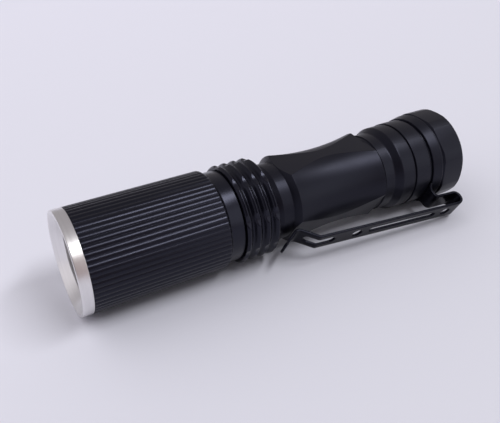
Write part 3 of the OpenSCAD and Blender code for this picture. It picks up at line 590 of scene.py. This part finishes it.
def spaced(line, gap=0.7):
    """The same line with more points on its straight stretches."""
    dense = [line[0]]
    for a, b in zip(line, line[1:]):
        count = max(1, math.ceil((b - a).length / gap))
        dense += [a.lerp(b, k / count) for k in range(1, count + 1)]
    return dense


clip_line = spaced(bent_line(CLIP_BENDS))
clip_run = [0.0]
for a, b in zip(clip_line, clip_line[1:]):
    clip_run.append(clip_run[-1] + (b - a).length)
clip_out = []
for i in range(len(clip_line)):
    way = clip_line[min(i + 1, len(clip_line) - 1)] - clip_line[max(i - 1, 0)]
    clip_out.append(Vector((-way.y, way.x)).normalized())


def on_clip(run, across, height):
    """The point at a run along the strip, across it, and height off its middle."""
    i = 0
    while i < len(clip_run) - 2 and clip_run[i + 1] < run:
        i += 1
    share = (run - clip_run[i]) / (clip_run[i + 1] - clip_run[i])
    flat = clip_line[i].lerp(clip_line[i + 1], share)
    flat = flat + clip_out[i].lerp(clip_out[i + 1], share).normalized() * height
    a = math.radians(CLIP_ANGLE)
    return Vector((flat.x, flat.y * math.sin(a) + across * math.cos(a),
                   flat.y * math.cos(a) - across * math.sin(a))) * MM


def arm_run(station):
    """The run along the strip where its outer arm passes a station."""
    for i in range(len(clip_line) - 1, 0, -1):
        a, b = clip_line[i - 1], clip_line[i]
        if a.x <= station <= b.x:
            share = (station - a.x) / (b.x - a.x)
            return clip_run[i - 1] + (clip_run[i] - clip_run[i - 1]) * share


def half_width(run, root=1.5, root_run=1.85):
    """Half of the strip's width, which flares into the ring at its root and tapers at the tip."""
    flare = min(root, max(0.0, root_run - run))
    even = (CLIP_REAR_W + (CLIP_TIP_W - CLIP_REAR_W) * run / clip_run[-1]) / 2
    even *= 1 - (1 - TIP_SHARE) * max(0.0, run + TIP_TAPER - clip_run[-1]) / TIP_TAPER
    return even + root - math.sqrt(root ** 2 - flare ** 2)


def arc(run, r, start, turn, steps):
    """Points of an arc about a point of the strip's middle line, as (run, across) points."""
    return [(run + r * math.cos(start + turn * k / steps),
             r * math.sin(start + turn * k / steps)) for k in range(steps + 1)]


def slot_outline(x0, x1, width, steps=14, clear_of_ends=0.1):
    """A slot with round ends between two stations of the arm."""
    a, b, r = arm_run(x0) + width / 2, arm_run(x1) - width / 2, width / 2
    sides = [run for run in clip_run if a + clear_of_ends < run < b - clear_of_ends]
    points = arc(a, r, math.pi / 2, math.pi, steps)
    points += [(run, -r) for run in sides]
    points += arc(b, r, -math.pi / 2, math.pi, steps)
    points += [(run, r) for run in reversed(sides)]
    return points


def round_outline(x, width, steps=28):
    """A round hole at a station of the arm."""
    return arc(arm_run(x), width / 2, 0, 2 * math.pi, steps)[:-1]


def strip_outline(tip_round=0.9, steps=8, clear_of_tip=0.1):
    """The strip's own outline, with its tip's two corners rounded."""
    end = clip_run[-1]
    sides = [run for run in clip_run if run < end - tip_round - clear_of_tip]
    points = [(run, -half_width(run)) for run in sides]
    half = half_width(end)
    for sign in (-1, 1):
        for k in range(steps + 1):
            t = math.pi / 2 * (k if sign < 0 else steps - k) / steps
            points.append((end - tip_round + tip_round * math.sin(t),
                           sign * (half - tip_round + tip_round * math.cos(t))))
    return points + [(run, half_width(run)) for run in reversed(sides)]


clip_cuts = [round_outline(9.3, HOLE_W), slot_outline(13.0, 35.4, LONG_SLOT_W),
             round_outline(39.2, HOLE_W), slot_outline(46.2, 54.5, FRONT_SLOT_W)]
flat_points, flat_edges = [], []
for outline in [strip_outline()] + clip_cuts:
    first = len(flat_points)
    flat_points += [Vector(p) for p in outline]
    flat_edges += [(first + k, first + (k + 1) % len(outline)) for k in range(len(outline))]
rim_points = list(flat_points)
ROWS, EDGE_GAP, RIM_GAP, SAME_POINT = 6, 0.25, 0.3, 1e-6
for run in clip_run[1:-1]:
    for k in range(-ROWS, ROWS + 1):
        inner = Vector((run, (half_width(run) - EDGE_GAP) * k / ROWS))
        if all((inner - p).length > RIM_GAP for p in rim_points):
            flat_points.append(inner)
flat_net = geometry.delaunay_2d_cdt(flat_points, flat_edges, [], 1, SAME_POINT)
flat_points, flat_faces = flat_net[0], flat_net[2]


def cut_away(point):
    """True inside one of the clip's holes or slots."""
    for outline in clip_cuts:
        inside = False
        for (x0, y0), (x1, y1) in zip(outline, outline[1:] + outline[:1]):
            if (y0 > point.y) != (y1 > point.y):
                if point.x < (x1 - x0) * (point.y - y0) / (y1 - y0) + x0:
                    inside = not inside
        if inside:
            return True
    return False


coated, coated_shader, node, link = plain_finish("black_coated_steel", BLACK, 0.0, 0.24, 0.12)
coated_shader.inputs["Specular Tint"].default_value = GLOSS_TINT
coat_wear = grain(node, link, 260, (0.4, 1, 1), 5.0)
vary(node, link, coated_shader, coat_wear, BLACK, 1.5, 0.7, 0.24, 0.06)
relief(node, link, coated_shader, grain(node, link, 4000), 0.15, 0.00002)
cut_steel = anodised("coated_cut_steel", CUT_COAT, 0.3, 0.1)
bm = bmesh.new()
outside = [bm.verts.new(on_clip(p.x, p.y, CLIP_T / 2)) for p in flat_points]
inside = [bm.verts.new(on_clip(p.x, p.y, -CLIP_T / 2)) for p in flat_points]
rims = {}
for face in flat_faces:
    if cut_away(sum((flat_points[i] for i in face), Vector((0, 0))) / len(face)):
        continue
    bm.faces.new([outside[i] for i in face])
    bm.faces.new([inside[i] for i in reversed(face)])
    for i, j in zip(face, face[1:] + face[:1]):
        if (j, i) in rims:
            del rims[(j, i)]
        else:
            rims[(i, j)] = True
for i, j in rims:
    bm.faces.new((outside[i], inside[i], inside[j], outside[j])).material_index = 1
bmesh.ops.delete(bm, geom=[v for v in bm.verts if not v.link_faces], context="VERTS")
clip = new_piece("clip_strip", bm, "clip", "clip_steel", coated, cut_steel)
softened = clip.modifiers.new("soft_edges", "BEVEL")
softened.width = 0.00011
softened.segments = 2
softened.limit_method = "ANGLE"
softened.angle_limit = math.radians(50)
even_normals(clip)
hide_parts("pocket_clip")
turned("clip_ring", [
    (CLIP_RING_X0, CLIP_RING_R0, 0.06), (CLIP_RING_X0, CLIP_RING_R1, 0.1),
    (CLIP_RING_X1, CLIP_RING_R1, 0.1), (CLIP_RING_X1, CLIP_RING_R0, 0.06),
], "clip", "clip_steel", coated)


# Table: a broad pale board with a fine grain, which the part lies on and throws its shadow on.
# It isn't part of the object. Painted shade darkens its colour towards the near side.
TABLE_Z, TABLE_HALF = -0.01302, 3
PART_MIDDLE = Vector((0.05, 0, 0))
BOARD_NEAR_PAINTED_SHADE, BOARD_FAR = (0.70, 0.695, 0.765), (0.82, 0.81, 0.91)
PAINTED_PALER_WAY, PAINTED_SHADE_START, PAINTED_SHADE_END = (0.4, -0.9, 0), -0.06, 0.27
bm = bmesh.new()
bmesh.ops.create_grid(bm, x_segments=1, y_segments=1, size=TABLE_HALF)
bmesh.ops.translate(bm, verts=bm.verts, vec=PART_MIDDLE + Vector((0, 0, TABLE_Z)))
table_mesh = bpy.data.meshes.new("table")
bm.to_mesh(table_mesh)
bm.free()
table = bpy.data.objects.new("table", table_mesh)
scene.collection.objects.link(table)
pale, pale_shader, node, link = plain_finish("pale_table_painted_shade", BOARD_FAR, 0.0, 0.7, 0.2)
# Painted shade: the board's colour goes from its pale far side to a darker near side.
spot = node("ShaderNodeTexCoord")
away = node("ShaderNodeVectorMath", operation="DOT_PRODUCT")
away.inputs[1].default_value = PAINTED_PALER_WAY
link(spot.outputs["Object"], away.inputs[0])
painted_shade_fade = node("ShaderNodeMapRange", {"From Min": PAINTED_SHADE_START, "From Max": PAINTED_SHADE_END})
link(away.outputs["Value"], painted_shade_fade.inputs["Value"])
board = node("ShaderNodeMix", data_type="RGBA")
board.inputs["A"].default_value = (*BOARD_NEAR_PAINTED_SHADE, 1)
board.inputs["B"].default_value = (*BOARD_FAR, 1)
link(painted_shade_fade.outputs["Result"], board.inputs["Factor"])
link(board.outputs["Result"], pale_shader.inputs["Base Color"])
relief(node, link, pale_shader, grain(node, link, 700), 0.1, 0.00004)
table_mesh.materials.append(pale)


# Room: plain light for the surfaces, most of it from the front and the far side. What shows in
# gloss is a darker room, bright in front of the lens, dark where the viewer stands, brown on the
# near side and with a dim window behind the tail. The background is pale.
NEAR_SIDE, LENS_SIDE, VIEWER_SIDE = (0, 0.98, 0.2), (0.94, 0.33, 0.0), (0.6, 0.63, 0.49)
TAIL_SIDE, FAR_FRONT = (-0.62, 0.7, 0.35), (0.74, -0.67, 0)
ROOM_GREY, ROOM_BROWN, ROOM_BRIGHT = (0.38, 0.36, 0.38), (0.33, 0.25, 0.25), (0.84, 0.81, 0.86)
ROOM_DARK, DIM_WINDOW = (0.1, 0.09, 0.1), (1.33, 1.34, 1.37)
PLAIN_DIM, PLAIN_BRIGHT, BACKGROUND = (0.16, 0.155, 0.165), (1.24, 1.22, 1.24), (0.80, 0.79, 0.86)
world = bpy.data.worlds.new("room")
scene.world = world
world.use_nodes = True
tree = world.node_tree
room = tree.nodes["Background"]
path = tree.nodes.new("ShaderNodeLightPath")
where = tree.nodes.new("ShaderNodeTexCoord")


def towards(way, start, end, under, colour):
    """The colour under, going over to another colour in the directions near a way."""
    along = tree.nodes.new("ShaderNodeVectorMath")
    along.operation = "DOT_PRODUCT"
    along.inputs[1].default_value = way
    tree.links.new(where.outputs["Generated"], along.inputs[0])
    slope = tree.nodes.new("ShaderNodeMapRange")
    slope.interpolation_type = "SMOOTHSTEP"
    slope.inputs["From Min"].default_value = start
    slope.inputs["From Max"].default_value = end
    tree.links.new(along.outputs["Value"], slope.inputs["Value"])
    return over(slope.outputs["Result"], under, colour)


def over(factor, under, colour):
    """Mixes two colours of the room, each a plain colour or another mix."""
    mix = tree.nodes.new("ShaderNodeMix")
    mix.data_type = "RGBA"
    tree.links.new(factor, mix.inputs["Factor"])
    for place, value in (("A", under), ("B", colour)):
        if isinstance(value, tuple):
            mix.inputs[place].default_value = (*value, 1)
        else:
            tree.links.new(value, mix.inputs[place])
    return mix.outputs["Result"]


shown = towards(NEAR_SIDE, 0.55, 0.95, ROOM_GREY, ROOM_BROWN)
shown = towards(LENS_SIDE, 0.35, 0.9, shown, ROOM_BRIGHT)
shown = towards(VIEWER_SIDE, 0.75, 0.97, shown, ROOM_DARK)
shown = towards(TAIL_SIDE, 0.91, 0.97, shown, DIM_WINDOW)
plain = towards(FAR_FRONT, -0.6, 0.85, PLAIN_DIM, PLAIN_BRIGHT)
shown = over(path.outputs["Is Glossy Ray"], plain, shown)
seen = tree.nodes.new("ShaderNodeMath")
seen.operation = "MAXIMUM"
tree.links.new(path.outputs["Is Camera Ray"], seen.inputs[0])
tree.links.new(path.outputs["Is Transmission Ray"], seen.inputs[1])
shown = over(seen.outputs["Value"], shown, BACKGROUND)
tree.links.new(shown, room.inputs["Color"])


# Window: one long soft lamp with daylight's colour, high up behind the tail on the near side.
# It draws the line of light along the tube and the soft shadow on the table.
WINDOW_WAY, WINDOW_AWAY = Vector((-0.38, 0.34, 0.86)), 2
daylight = bpy.data.lights.new("high_window", "AREA")
daylight.shape = "RECTANGLE"
daylight.size = 1.5
daylight.size_y = 0.34
daylight.energy = 20
daylight.color = (0.97, 0.98, 1.0)
lamp = bpy.data.objects.new("high_window", daylight)
scene.collection.objects.link(lamp)
lamp.location = PART_MIDDLE + WINDOW_WAY.normalized() * WINDOW_AWAY
lamp.rotation_euler = (PART_MIDDLE - lamp.location).to_track_quat("-Z", "Y").to_euler()


# Camera: it stands over the lens end on the near side and looks down along the part. Its place
# and its three directions were fitted to the turned edges.
camera_data = bpy.data.cameras.new("camera")
camera_data.sensor_fit = "HORIZONTAL"
camera_data.sensor_width = 36
camera_data.lens = 45.19
camera_data.clip_start = 0.01
camera = bpy.data.objects.new("camera", camera_data)
scene.collection.objects.link(camera)
right = Vector((-0.8695255, 0.4938881, 0))
up = Vector((-0.2696091, -0.4746662, 0.8378561))
back = Vector((0.4138072, 0.7285373, 0.5458911))
place = Vector((0.133107, 0.121508, 0.089717))
turned_so = Matrix((right, up, back)).transposed().to_4x4()
camera.matrix_world = Matrix.Translation(place) @ turned_so
scene.camera = camera
scene.view_settings.view_transform = "Standard"
